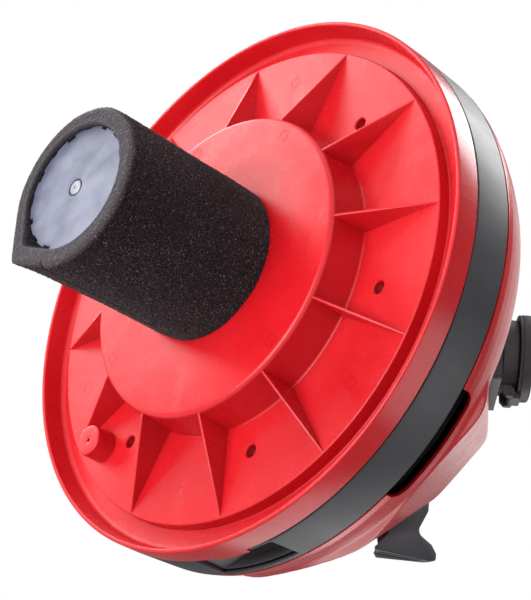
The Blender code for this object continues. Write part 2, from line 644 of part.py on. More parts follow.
lower_housing()
band()
latch_pocket("latch_pocket_right", 0)
latch_pocket("latch_pocket_left", 180)
dome_cover()
deck_screws()
exhaust_baffle()
socket_plinth()
socket_body()
socket_lid()
hinge_pin()
switch()
cord_gland()
carry_handle()
cord_hook("cord_hook_right", 1)
cord_hook("cord_hook_left", -1)
filter_cage()
filter_end_cap()
foam_sleeve()
float_ball()
inlet_seal()
fan_case()
impeller()
motor()
motor_shroud()
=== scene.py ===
"""Looks of the vacuum power head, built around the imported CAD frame.

Pieces are shaped in millimetres in the CAD's own frame and become metres when a mesh is made.
"""

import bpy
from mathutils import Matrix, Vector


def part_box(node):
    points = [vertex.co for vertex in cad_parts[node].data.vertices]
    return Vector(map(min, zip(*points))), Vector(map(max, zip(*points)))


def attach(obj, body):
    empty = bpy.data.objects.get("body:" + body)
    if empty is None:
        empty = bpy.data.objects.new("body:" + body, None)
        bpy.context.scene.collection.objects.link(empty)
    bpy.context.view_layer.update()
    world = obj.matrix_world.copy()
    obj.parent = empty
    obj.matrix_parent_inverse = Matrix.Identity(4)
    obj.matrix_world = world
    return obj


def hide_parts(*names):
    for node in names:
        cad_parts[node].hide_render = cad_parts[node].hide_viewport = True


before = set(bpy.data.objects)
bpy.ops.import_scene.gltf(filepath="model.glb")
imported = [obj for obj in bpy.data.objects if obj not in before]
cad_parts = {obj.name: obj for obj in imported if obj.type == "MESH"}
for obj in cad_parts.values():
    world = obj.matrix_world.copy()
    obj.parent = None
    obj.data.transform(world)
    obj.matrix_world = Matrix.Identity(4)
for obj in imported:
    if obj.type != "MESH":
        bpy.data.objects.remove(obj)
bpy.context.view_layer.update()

import math

import bmesh
import bpy
from mathutils import Matrix, Vector, noise

MM = 0.001


def node_low(node, axis=2):
    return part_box(node)[0][axis] / MM


def node_high(node, axis=2):
    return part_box(node)[1][axis] / MM


# Driving dimensions, some read from the imported solids and the rest given
RIM_R = node_high("lower_housing", 0)
BAND_LOW = node_low("band_ring")
LIP_Z = BAND_LOW - 19.0
BAND_HIGH = node_high("band_ring") + 0.3
WALL = 2.5
CHANNEL_Z = LIP_Z + 15.8
DECK_Z = LIP_Z + 6.3
DECK_R = 169.7
PLATEAU_R = 109.4
PLATEAU_TOP_R = 106.9
PLATEAU_Z = node_low("lower_housing")
CAGE_R = 41.5
CAP_FACE = node_low("filter_end_cap")
CAP_R = node_high("filter_end_cap", 0)
GUSSETS = 12
SCREW_CIRCLE_R = 131.0
POST_R = 6.5
SCREW_HEAD_R, PILOT_R = 4.3, 2.1
SCREW_ANGLES = (-130.0, -70.0, -10.0, 45.0, 110.0, 170.0)
BOSS = (149.0, 52.7)
WINDOW_HALF_ANGLE = 9.8
SLOT_MIDDLES = (-136.5, -43.5, 43.5, 136.5)
SLOT_HALF_ANGLE = 12.2
FINE = 256


# Meshes

def polar(radius, degrees, height=None):
    angle = math.radians(degrees)
    point = (radius * math.cos(angle), radius * math.sin(angle))
    return point if height is None else (*point, height)


def rounded(corners, closed=True, steps=5):
    """A path through (x, y, fillet radius) corners, with each fillet as an arc."""
    path = []
    count = len(corners)
    for i, (x, y, radius) in enumerate(corners):
        here = Vector((x, y))
        if radius <= 0 or (not closed and i in (0, count - 1)):
            path.append((x, y))
            continue
        back = Vector(corners[i - 1][:2]) - here
        ahead = Vector(corners[(i + 1) % count][:2]) - here
        half = back.angle(ahead) / 2
        reach = min(radius / math.tan(half), back.length * 0.49, ahead.length * 0.49)
        radius = reach * math.tan(half)
        start, end = here + back.normalized() * reach, here + ahead.normalized() * reach
        centre = here + (back.normalized() + ahead.normalized()).normalized() * (radius / math.sin(half))
        first, last = start - centre, end - centre
        turn = first.angle_signed(last)
        for k in range(steps + 1):
            arm = first.copy()
            arm.rotate(Matrix.Rotation(-turn * k / steps, 2))
            path.append(tuple(centre + arm))
    return path


def sharpen(mesh, degrees=32):
    mesh.shade_smooth()
    mesh.set_sharp_from_angle(angle=math.radians(degrees))


def make(name, vertices, faces, place=None, sharp=32):
    """An object from vertices in millimetres."""
    mesh = bpy.data.meshes.new(name)
    mesh.from_pydata([(x * MM, y * MM, z * MM) for x, y, z in vertices], [], faces)
    shape = bmesh.new()
    shape.from_mesh(mesh)
    bmesh.ops.recalc_face_normals(shape, faces=shape.faces)
    shape.to_mesh(mesh)
    shape.free()
    sharpen(mesh, sharp)
    body = bpy.data.objects.new(name, mesh)
    bpy.context.collection.objects.link(body)
    if place is not None:
        mesh.transform(place)
    return body


def lathe(name, profile, closed=True, segments=FINE, place=None, sharp=32):
    """Turn a profile of (radius, height) points about Z."""
    vertices, rings = [], []
    for radius, height in profile:
        if radius < 1e-6:
            rings.append([len(vertices)] * segments)
            vertices.append((0.0, 0.0, height))
            continue
        rings.append(list(range(len(vertices), len(vertices) + segments)))
        vertices += [polar(radius, 360.0 * i / segments, height) for i in range(segments)]
    faces = []
    last = len(rings) if closed else len(rings) - 1
    for k in range(last):
        low, high = rings[k], rings[(k + 1) % len(rings)]
        for i in range(segments):
            j = (i + 1) % segments
            corners = []
            for corner in (low[i], low[j], high[j], high[i]):
                if corner not in corners:
                    corners.append(corner)
            if len(corners) > 2:
                faces.append(corners)
    return make(name, vertices, faces, place, sharp)


def prism(name, outline, low, high, place=None, sharp=32):
    count = len(outline)
    vertices = [(x, y, low) for x, y in outline] + [(x, y, high) for x, y in outline]
    faces = [list(range(count)), list(range(2 * count - 1, count - 1, -1))]
    faces += [(i, (i + 1) % count, count + (i + 1) % count, count + i) for i in range(count)]
    return make(name, vertices, faces, place, sharp)


def ring_faces(rings):
    """Faces that join rings of FINE points each, and close both ends."""
    faces = []
    for k in range(rings - 1):
        for i in range(FINE):
            j = (i + 1) % FINE
            faces.append((k * FINE + i, k * FINE + j, (k + 1) * FINE + j, (k + 1) * FINE + i))
    return faces + [list(range(FINE)), list(range((rings - 1) * FINE, rings * FINE))]


def moved_to(radius, degrees):
    """A shift from the axis to a place at a radius in millimetres."""
    x, y = polar(radius, degrees)
    return Matrix.Translation((x * MM, y * MM, 0))


def circle(radius, segments=48, centre=(0.0, 0.0)):
    return [(centre[0] + radius * math.cos(math.tau * i / segments),
             centre[1] + radius * math.sin(math.tau * i / segments)) for i in range(segments)]


def sector(inner, outer, half_angle, middle=0.0, steps=16):
    angles = [middle + half_angle * (2 * i / steps - 1) for i in range(steps + 1)]
    return [polar(outer, a) for a in angles] + [polar(inner, a) for a in reversed(angles)]


def merged(name, parts):
    """One mesh from several that don't touch."""
    shape = bmesh.new()
    for part in parts:
        shape.from_mesh(part.data)
        bpy.data.objects.remove(part)
    mesh = bpy.data.meshes.new(name)
    shape.to_mesh(mesh)
    shape.free()
    body = bpy.data.objects.new(name, mesh)
    bpy.context.collection.objects.link(body)
    return body


def settle(body, sharp=32):
    """Apply a body's modifiers to its mesh."""
    graph = bpy.context.evaluated_depsgraph_get()
    mesh = bpy.data.meshes.new_from_object(body.evaluated_get(graph))
    body.modifiers.clear()
    body.data = mesh
    sharpen(mesh, sharp)
    return body


def combine(body, tools, operation="DIFFERENCE", sharp=32):
    tool = merged(body.name + "_tool", tools) if len(tools) > 1 else tools[0]
    modifier = body.modifiers.new("shape", "BOOLEAN")
    modifier.operation = operation
    modifier.object = tool
    modifier.solver = "EXACT"
    settle(body, sharp)
    bpy.data.objects.remove(tool)
    return body


def soften(body, width, segments=3, angle=40, sharp=32):
    """Round a body's hard edges; width in millimetres."""
    bevel = body.modifiers.new("soft edges", "BEVEL")
    bevel.width = width * MM
    bevel.segments = segments
    bevel.limit_method = "ANGLE"
    bevel.angle_limit = math.radians(angle)
    bevel.use_clamp_overlap = True
    bevel.harden_normals = False
    return settle(body, sharp)


# Materials

class Nodes:
    """A material's node tree, with short calls to add and join nodes."""

    def __init__(self, name):
        self.material = bpy.data.materials.new(name)
        self.material.use_nodes = True
        self.tree = self.material.node_tree
        self.shader = self.tree.nodes["Principled BSDF"]
        self.place = self.add("ShaderNodeTexCoord").outputs["Object"]

    def add(self, kind, **settings):
        node = self.tree.nodes.new(kind)
        for key, value in settings.items():
            setattr(node, key, value)
        return node

    def join(self, source, target):
        self.tree.links.new(source, target)

    def noise(self, scale, detail=3.0, roughness=0.5, stretch=None):
        node = self.add("ShaderNodeTexNoise")
        node.inputs["Scale"].default_value = scale
        node.inputs["Detail"].default_value = detail
        node.inputs["Roughness"].default_value = roughness
        place = self.place
        if stretch is not None:
            mapping = self.add("ShaderNodeMapping")
            mapping.inputs["Scale"].default_value = stretch
            self.join(place, mapping.inputs["Vector"])
            place = mapping.outputs["Vector"]
        self.join(place, node.inputs["Vector"])
        return node.outputs["Fac"]

    def voronoi(self, scale):
        node = self.add("ShaderNodeTexVoronoi")
        node.inputs["Scale"].default_value = scale
        self.join(self.place, node.inputs["Vector"])
        return node.outputs["Distance"]

    def ramp(self, source, stops):
        node = self.add("ShaderNodeValToRGB")
        ramp = node.color_ramp
        while len(ramp.elements) < len(stops):
            ramp.elements.new(0.5)
        for element, (position, colour) in zip(ramp.elements, stops):
            element.position = position
            element.color = (*colour, 1.0)
        self.join(source, node.inputs["Fac"])
        return node.outputs["Color"]

    def spread(self, source, low, high, start=0.3, end=0.7):
        node = self.add("ShaderNodeMapRange")
        for key, value in (("From Min", start), ("From Max", end), ("To Min", low), ("To Max", high)):
            node.inputs[key].default_value = value
        self.join(source, node.inputs["Value"])
        return node.outputs["Result"]

    def blend(self, factor, first, second):
        node = self.add("ShaderNodeMix", data_type="RGBA")
        for socket, value in ((node.inputs[0], factor), (node.inputs[6], first), (node.inputs[7], second)):
            if isinstance(value, bpy.types.NodeSocket):
                self.join(value, socket)
            else:
                socket.default_value = (*value, 1.0)
        return node.outputs[2]

    def bump(self, source, strength, distance, under=None):
        node = self.add("ShaderNodeBump")
        node.inputs["Strength"].default_value = strength
        node.inputs["Distance"].default_value = distance
        self.join(source, node.inputs["Height"])
        if under is not None:
            self.join(under, node.inputs["Normal"])
        return node.outputs["Normal"]

    def set(self, **values):
        for key, value in values.items():
            self.shader.inputs[key.replace("_", " ")].default_value = value

    def surface(self, colour=None, roughness=None, normal=None):
        for socket, source in (("Base Color", colour), ("Roughness", roughness), ("Normal", normal)):
            if source is not None:
                self.join(source, self.shader.inputs[socket])
        return self.material


def moulded(name, deep, body, pale, roughness, grain, specular=0.5, wear=0.0):
    """Injection-moulded plastic: cloudy colour, fine grain, faint sink marks and scuffs."""
    n = Nodes(name)
    cloud = n.noise(9.0, 4.0, 0.55)
    colour = n.ramp(cloud, ((0.30, deep), (0.52, body), (0.78, pale)))
    fine = n.noise(1400.0, 2.0, 0.6)
    colour = n.blend(n.spread(fine, 0.0, 0.10), colour, pale)
    if wear > 0:
        edge = n.add("ShaderNodeNewGeometry").outputs["Pointiness"]
        worn = n.spread(edge, 0.0, wear, 0.515, 0.56)
        colour = n.blend(worn, colour, pale)
    scuff = n.noise(60.0, 5.0, 0.7, (1.0, 1.0, 0.25))
    rough = n.spread(scuff, roughness - 0.03, roughness + 0.05)
    wave = n.bump(n.noise(14.0, 2.0, 0.4), 0.04, 0.004)
    normal = n.bump(fine, grain, 0.00015, wave)
    n.set(Specular_IOR_Level=specular)
    return n.surface(colour, rough, normal)


def metal(name, base, dark, roughness, brushing):
    n = Nodes(name)
    streak = n.noise(120.0, 4.0, 0.6, brushing)
    colour = n.ramp(streak, ((0.25, dark), (0.60, base)))
    rough = n.spread(n.noise(70.0, 4.0, 0.6), roughness - 0.06, roughness + 0.12)
    n.set(Metallic=1.0)
    return n.surface(colour, rough, n.bump(streak, 0.12, 0.0002))


def foam_material():
    """Open-cell black foam: pores painted near black as shade in the holes, and the strands between them, a
    few tenths of a millimetre wide, painted grey with pale flecks as glints.
    """
    n = Nodes("foam_open_cell")
    cells = n.voronoi(1150.0)
    glint_flecks = n.noise(1500.0, 2.0, 0.7)
    # Painted shade and glints: pore centres near black as shade in the holes, cell edges grey as light on the
    # strands.
    pore_shade_strut_glints = n.ramp(cells, ((0.26, (0.0006, 0.0004, 0.0005)), (0.54, (0.0045, 0.0033, 0.0042)),
                            (0.76, (0.030, 0.024, 0.028)), (0.96, (0.22, 0.19, 0.21))))
    # Pale flecks painted over the foam as glints.
    colour = n.blend(n.spread(glint_flecks, 0.0, 0.8, 0.57, 0.68), pore_shade_strut_glints, (0.14, 0.120, 0.131))
    colour = n.blend(n.spread(n.noise(24.0, 3.0, 0.5), 0.0, 0.35), colour, (0.006, 0.0045, 0.0055))
    # Painted light: the foam's end face is painted paler within 1.5 mm of its low end, fading out by 4 mm.
    height = n.add("ShaderNodeSeparateXYZ")
    n.join(n.place, height.inputs[0])
    lit_end_face = n.spread(height.outputs["Z"], 0.30, 0.0, 0.0015, 0.0040)
    colour = n.blend(lit_end_face, colour, (0.115, 0.103, 0.112))
    n.set(Specular_IOR_Level=0.10, Roughness=0.95)
    n.set(Sheen_Weight=0.10, Sheen_Roughness=0.6, Sheen_Tint=(0.75, 0.70, 0.74, 1.0))
    return n.surface(colour, None, n.bump(cells, 0.5, 0.0006))


def cap_material():
    """Pale blue-grey cap: clouds left by the moulding and a satin surface."""
    n = Nodes("cap_plastic_fine")
    swirl = n.noise(38.0, 5.0, 0.65)
    colour = n.ramp(swirl, ((0.30, (0.062, 0.065, 0.104)), (0.50, (0.090, 0.094, 0.142)),
                            (0.72, (0.130, 0.135, 0.190))))
    rough = n.spread(n.noise(80.0, 4.0, 0.7), 0.30, 0.48)
    wave = n.bump(n.noise(40.0, 2.0, 0.4), 0.25, 0.003)
    return n.surface(colour, rough, n.bump(n.noise(700.0, 2.0), 0.10, 0.0002, wave))


def core_material():
    """Varnished laminations: thin level layers along the motor's axis."""
    n = Nodes("core_laminations")
    wave = n.add("ShaderNodeTexWave", bands_direction="Z")
    wave.inputs["Scale"].default_value = 260.0
    wave.inputs["Distortion"].default_value = 0.4
    n.join(n.place, wave.inputs["Vector"])
    colour = n.ramp(wave.outputs["Fac"], ((0.2, (0.05, 0.045, 0.045)), (0.8, (0.26, 0.24, 0.24))))
    n.set(Metallic=0.7)
    rough = n.spread(n.noise(90.0), 0.38, 0.6)
    return n.surface(colour, rough, n.bump(wave.outputs["Fac"], 0.5, 0.0003))


RED = moulded("red_plastic_fine", (0.37, 0.0040, 0.0078), (0.44, 0.0055, 0.0100), (0.50, 0.014, 0.020),
              0.25, 0.10, 0.42)
BLACK = moulded("black_plastic_fine", (0.012, 0.011, 0.014), (0.019, 0.017, 0.022), (0.050, 0.047, 0.055),
                0.46, 0.28, wear=0.35)
# Black plastic for the parts inside the housing, painted darker than BLACK as the shade inside.
BLACK_PAINTED_SHADE = moulded("black_plastic_painted_shade", (0.003, 0.0025, 0.003), (0.006, 0.005, 0.006),
                      (0.010, 0.009, 0.010), 0.75, 0.35, 0.25)
GRIP = moulded("black_soft_grip", (0.012, 0.011, 0.013), (0.018, 0.017, 0.020), (0.040, 0.038, 0.043),
               0.62, 0.6)
ROCKER = moulded("rocker_plastic_fine", (0.42, 0.008, 0.012), (0.55, 0.012, 0.018), (0.65, 0.03, 0.04),
                 0.28, 0.05)
FLOAT = moulded("float_plastic_fine", (0.62, 0.62, 0.58), (0.75, 0.75, 0.71), (0.82, 0.82, 0.80), 0.35, 0.08)
RUBBER = moulded("rubber_fine", (0.010, 0.010, 0.011), (0.018, 0.018, 0.019), (0.040, 0.039, 0.042),
                0.75, 0.5, 0.3)
STEEL = metal("steel_brushed_fine", (0.60, 0.60, 0.61), (0.42, 0.42, 0.43), 0.32, (1.0, 1.0, 6.0))
RIVET = metal("rivet_fine", (0.36, 0.37, 0.40), (0.27, 0.28, 0.31), 0.50, (1.0, 1.0, 6.0))
COPPER = metal("copper_fine", (0.62, 0.30, 0.14), (0.34, 0.14, 0.06), 0.38, (1.0, 1.0, 8.0))
FOAM = foam_material()
CAP = cap_material()
CORE = core_material()


def piece(body, material, rides, slot, *stands_for):
    body.data.materials.clear()
    body.data.materials.append(material)
    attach(body, rides)
    if stands_for:
        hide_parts(*stands_for)
    return body


# Lower housing: rim, tank channel, deck, plateau and gussets

# Rings of moulding marks: radius, how many, first angle, face
EJECTOR_MARKS = ((97.0, 7, 12.0, PLATEAU_Z), (148.0, 6, 15.0, DECK_Z))


def gusset(index):
    """A tapered triangular rib with a rounded top edge, from the plateau's wall to the deck's edge."""
    wall_r = PLATEAU_TOP_R - 1.2
    top = PLATEAU_Z + 2.0
    side = [(wall_r, DECK_Z + 1.2), (wall_r, top), (PLATEAU_TOP_R + 0.3, top),
            (DECK_R - 0.9, DECK_Z - 0.05), (DECK_R - 0.9, DECK_Z + 1.2)]
    vertices = []
    half_widths = (1.35, 0.85, 0.85, 0.85, 1.0)
    for y_side in (-1, 1):
        vertices += [(r, y_side * w, z) for (r, z), w in zip(side, half_widths)]
    faces = [(0, 1, 2, 3, 4), (9, 8, 7, 6, 5)]
    faces += [(i, (i + 1) % 5, 5 + (i + 1) % 5, 5 + i) for i in range(5)]
    rib = make(f"rib_{index}", vertices, faces)
    soften(rib, 0.45, 2, 60)
    rib.data.transform(Matrix.Rotation(math.tau * index / GUSSETS, 4, "Z"))
    return rib


def lower_housing():
    flange_r = RIM_R - WALL - 1.0
    profile = rounded([
        (flange_r, LIP_Z + 46.0, 0), (flange_r, BAND_LOW - 0.3, 0), (RIM_R - 0.9, BAND_LOW - 0.3, 0),
        (RIM_R, BAND_LOW - 1.2, 0.4), (RIM_R, LIP_Z, 1.5), (RIM_R - 2.9, LIP_Z, 1.2),
        (RIM_R - 5.6, CHANNEL_Z, 4.2), (DECK_R, CHANNEL_Z, 1.2), (DECK_R, DECK_Z, 1.1),
        (PLATEAU_R, DECK_Z, 1.6), (PLATEAU_TOP_R, PLATEAU_Z, 3.6), (CAGE_R + 0.5, PLATEAU_Z, 0.6),
        (CAGE_R + 0.5, PLATEAU_Z + WALL, 0), (PLATEAU_TOP_R - 4.0, PLATEAU_Z + WALL, 0),
        (PLATEAU_R - WALL, DECK_Z + WALL, 0), (DECK_R - WALL, DECK_Z + WALL, 0),
        (DECK_R - WALL, CHANNEL_Z + WALL, 0), (flange_r - WALL, CHANNEL_Z + WALL, 0),
        (flange_r - WALL, LIP_Z + 46.0, 0)], steps=6)
    body = lathe("housing_shell", profile)
    ribs = [gusset(i) for i in range(GUSSETS)]
    x, y = polar(*BOSS)
    boss = lathe("boss", rounded([(0, DECK_Z - 14.6, 0), (2.2, DECK_Z - 14.6, 0.2), (2.9, DECK_Z - 14.9, 0.3),
                                  (10.6, DECK_Z - 15.0, 1.3), (11.2, DECK_Z + 1.0, 0), (0, DECK_Z + 1.0, 0)],
                                 closed=False), closed=False, segments=64, place=moved_to(*BOSS))
    combine(body, ribs + [boss], "UNION")
    tools = [prism("boss_hole", circle(1.3, 20, (x, y)), DECK_Z - 18, DECK_Z - 9)]
    for angle in SCREW_ANGLES:
        sink = [(0, DECK_Z + WALL + 1), (SCREW_HEAD_R, DECK_Z + WALL + 1), (SCREW_HEAD_R, DECK_Z + 0.7),
                (5.2, DECK_Z - 0.3), (0, DECK_Z - 0.3)]
        tools.append(lathe("hole", sink, closed=False, segments=40, place=moved_to(SCREW_CIRCLE_R, angle)))
    for side in (0, 180):
        tools.append(prism("notch", sector(flange_r - WALL - 1, RIM_R + 1, WINDOW_HALF_ANGLE + 0.6, side),
                           BAND_LOW - 0.3, LIP_Z + 47.0))
    for radius, count, start, face in EJECTOR_MARKS:
        for i in range(count):
            angle = start + 360.0 * i / count
            if face == DECK_Z and abs(angle - BOSS[1]) < 12:
                continue
            mark = [(3.6, face - 0.4), (4.15, face - 0.4), (4.0, face + 0.2), (3.75, face + 0.2)]
            tools.append(lathe("ejector_mark", mark, segments=32, place=moved_to(radius, angle)))
    combine(body, tools)
    lugs = []
    for side in (0, 180):
        lug = prism("lug", sector(RIM_R - 4.0, RIM_R - 0.25, 4.0, side, 24), BAND_LOW - 3.0, BAND_LOW + 3.6)
        lugs.append(soften(lug, 0.5, 3, 60))
    combine(body, lugs, "UNION")
    return piece(body, RED, "head", "red_plastic", "lower_housing")


# Black band and the pockets behind its windows

def band():
    profile = rounded([
        (RIM_R - 1.3, BAND_HIGH - 0.5, 0.8), (RIM_R - 0.05, BAND_LOW + 0.2, 0.8),
        (RIM_R - WALL - 0.5, BAND_LOW, 0), (RIM_R - WALL - 0.5, BAND_HIGH - 0.5, 0)])
    body = lathe("band_moulding", profile)
    windows = [prism("window", sector(RIM_R - 8, RIM_R + 3, WINDOW_HALF_ANGLE, side, 24),
                     BAND_LOW - 1.0, LIP_Z + 46.2) for side in (0, 180)]
    combine(body, windows)
    soften(body, 0.55, 3, 55)
    return piece(body, BLACK, "head", "black_plastic", "band_ring")


def latch_pocket(name, side):
    """A tray with an opening for the latch; its rear end slopes up to the band like a ramp."""
    low, high = BAND_LOW + 4.2, LIP_Z + 45.6
    half = WINDOW_HALF_ANGLE - 0.2
    body = prism(name + "_tray", sector(RIM_R - 13.0, RIM_R - 3.4, half, side, 24), low, high)
    hollow = []
    steps = 24
    for i in range(steps + 1):
        share = i / steps
        angle = -(half - 0.7) + 2 * (half - 0.7) * share
        depth = RIM_R - 11.0 if share < 0.55 else RIM_R - 11.0 + 7.0 * (share - 0.55) / 0.45
        hollow.append((depth, angle if side == 0 else -angle))
    outline = [polar(radius, side + angle) for radius, angle in hollow]
    outline += [polar(RIM_R + 1, side + angle) for _, angle in reversed(hollow)]
    combine(body, [prism("hollow", outline, low + 2.0, high - 2.0)])
    soften(body, 0.35, 2, 50)
    return piece(body, BLACK, "head", "black_plastic", name)


# Dome cover

LOWER_DOME = ((0.268, 0.993), (0.30, 0.985), (0.34, 0.968), (0.385, 0.945), (0.43, 0.918),
              (0.46, 0.895), (0.50, 0.80), (0.60, 0.50), (0.65, 0.0))
TOP_LEVEL = 1.05
CORNER_SHARPNESS = 34
FRONT_FOOT = 0.74
FRONT_SLOPE = 0.785
SHOULDER = 0.035
DOME_WALL = 3.0


def round_radius(level):
    for (low, r_low), (high, r_high) in zip(LOWER_DOME, LOWER_DOME[1:]):
        if level <= high:
            return r_low + (r_high - r_low) * (level - low) / (high - low)
    return 0.0


def octagon_radius(level, angle):
    """Radius of the upper octagon: flat sides, front, back and corners that all lean inwards."""
    rise = level - 0.5
    x, y = abs(math.cos(angle)), abs(math.sin(angle))
    if math.sin(angle) < 0:
        end, corner = y / (FRONT_FOOT - FRONT_SLOPE * rise), (0.798 * x + 0.602 * y) / (0.864 - 0.786 * rise)
    else:
        end, corner = y / (0.80 - 0.30 * rise), (x + y) / (1.30 - 0.72 * rise)
    side = x / (0.895 - 0.74 * rise)
    power = CORNER_SHARPNESS
    return (side ** power + end ** power + corner ** power) ** (-1 / power)


def smooth_greater(a, b, width):
    """The greater of two values, with a rounded crossing."""
    share = max(0.0, width - abs(a - b)) / width
    return max(a, b) + share * share * width / 4


def dome_radius(level, angle):
    foot = round_radius(level)
    if level < 0.36:
        return foot
    tier = min(octagon_radius(level, angle), 0.93)
    return smooth_greater(foot, tier, 0.012)


def dome_surface(inset, levels):
    rings = []
    for level in levels:
        height = LIP_Z + level * RIM_R
        below_top = TOP_LEVEL - level
        draw_in = 0.0
        if below_top < SHOULDER:
            share = 1 - below_top / SHOULDER
            draw_in = SHOULDER * RIM_R * (1 - math.sqrt(max(0.0, 1 - share * share)))
        ring = []
        for i in range(FINE):
            angle = math.tau * i / FINE
            radius = dome_radius(level, angle) * RIM_R - inset - draw_in
            ring.append((radius * math.cos(angle), radius * math.sin(angle), height))
        rings.append(ring)
    return rings


def dome_cover():
    foot = 0.268 + 0.3 / RIM_R
    levels = [foot + (0.52 - foot) * i / 34 for i in range(34)]
    levels += [0.52 + (TOP_LEVEL - SHOULDER - 0.52) * i / 22 for i in range(22)]
    levels += [TOP_LEVEL - SHOULDER * (1 - math.sin(math.pi / 2 * i / 8)) for i in range(9)]
    outer = dome_surface(0.0, levels)
    inner = dome_surface(DOME_WALL, levels[:-9] + [TOP_LEVEL - SHOULDER])
    rings = list(reversed(outer)) + inner
    vertices = [point for ring in rings for point in ring]
    body = make("dome_shell", vertices, ring_faces(len(rings)), sharp=40)
    combine(body, [slot_tool(middle) for middle in SLOT_MIDDLES])
    soften(body, 0.7, 3, 62, 40)
    tools = [prism("socket_hole", circle(22.2), -14, 19, socket_place()),
             prism("switch_hole", [(-19.2, -11.2), (19.2, -11.2), (19.2, 11.2), (-19.2, 11.2)], -8, 6,
                   switch_place()),
             prism("gland_hole", circle(9.3), -8, 8, gland_place())]
    combine(body, tools, sharp=40)
    piece(body, RED, "head", "red_plastic", "dome_cover")
    posts = merged("screw_posts", [screw_post(angle) for angle in SCREW_ANGLES])
    sharpen(posts.data)
    return piece(posts, RED, "head", "red_plastic")


def screw_post(angle):
    """A tube from the deck up to the dome's inside: wide for the screw's head, then its pilot hole."""
    foot = DECK_Z + WALL + 0.3
    reach = SCREW_CIRCLE_R + POST_R + DOME_WALL + 0.5
    level = TOP_LEVEL
    while dome_radius(level, math.radians(angle)) * RIM_R < reach:
        level -= 0.005
    profile = [(SCREW_HEAD_R, foot), (POST_R, foot), (POST_R, LIP_Z + level * RIM_R),
               (PILOT_R, LIP_Z + level * RIM_R), (PILOT_R, foot + 10.0), (SCREW_HEAD_R, foot + 10.0)]
    return lathe("post", profile, segments=40, place=moved_to(SCREW_CIRCLE_R, angle))


def slot_tool(middle):
    """A long exhaust slot with round ends, bent around the dome's foot."""
    low, high = BAND_HIGH - 6.0, LIP_Z + 0.347 * RIM_R
    half = SLOT_HALF_ANGLE * math.radians(RIM_R)
    outline = rounded([(-half, low, 0), (half, low, 0), (half, high, 10), (-half, high, 10)], steps=8)
    spread = []
    for (a, z), (b, y) in zip(outline, outline[1:] + outline[:1]):
        pieces = max(1, int(abs(b - a) / 4))
        spread += [(a + (b - a) * t / pieces, z + (y - z) * t / pieces) for t in range(pieces)]
    count = len(spread)
    vertices = []
    for radius, flare in ((170, 1.22), (200, 0.90)):
        wider = 0.5 + flare / 2
        vertices += [polar(radius, middle + math.degrees(a / RIM_R) * wider, low + (z - low) * flare)
                     for a, z in spread]
    faces = [(i, (i + 1) % count, count + (i + 1) % count, count + i) for i in range(count)]
    faces += [list(range(count)), list(range(2 * count - 1, count - 1, -1))]
    return make("slot", vertices, faces)


# Local frames on the dome

def local_place(origin, axis):
    across = axis.cross(Vector((1, 0, 0)))
    turn = Matrix((Vector((1, 0, 0)), across, axis)).transposed().to_4x4()
    return Matrix.Translation(origin * MM) @ turn


def socket_place():
    tilt = math.radians(44.0)
    axis = Vector((0, -math.cos(tilt), math.sin(tilt)))
    lid_middle = Vector((0, -0.443 * RIM_R, LIP_Z + 1.085 * RIM_R))
    return local_place(lid_middle - 39.0 * axis, axis)


def switch_place():
    level = 0.66
    reach = (FRONT_FOOT - FRONT_SLOPE * (level - 0.5)) * RIM_R
    middle = Vector((-50.0, -reach, LIP_Z + level * RIM_R))
    return local_place(middle, Vector((0, -1, FRONT_SLOPE)).normalized())


def gland_place():
    level, lean = 0.62, math.atan(0.30)
    reach = (0.80 - 0.30 * (level - 0.5)) * RIM_R
    return local_place(Vector((0, reach, LIP_Z + level * RIM_R)), Vector((0, math.cos(lean), math.sin(lean))))


# Foam sleeve

SEAM_ANGLE = math.radians(54.0)


def pinched(radius, corner, offset):
    """A circle's radius, drawn out along its tangents to a corner; offset is the angle from the corner."""
    reach = math.acos(radius / corner)
    offset = abs(offset)
    if offset > reach:
        return radius
    blunt = math.sqrt(offset * offset + 0.0012)
    return min(radius / math.cos(reach - min(blunt, reach)), corner)


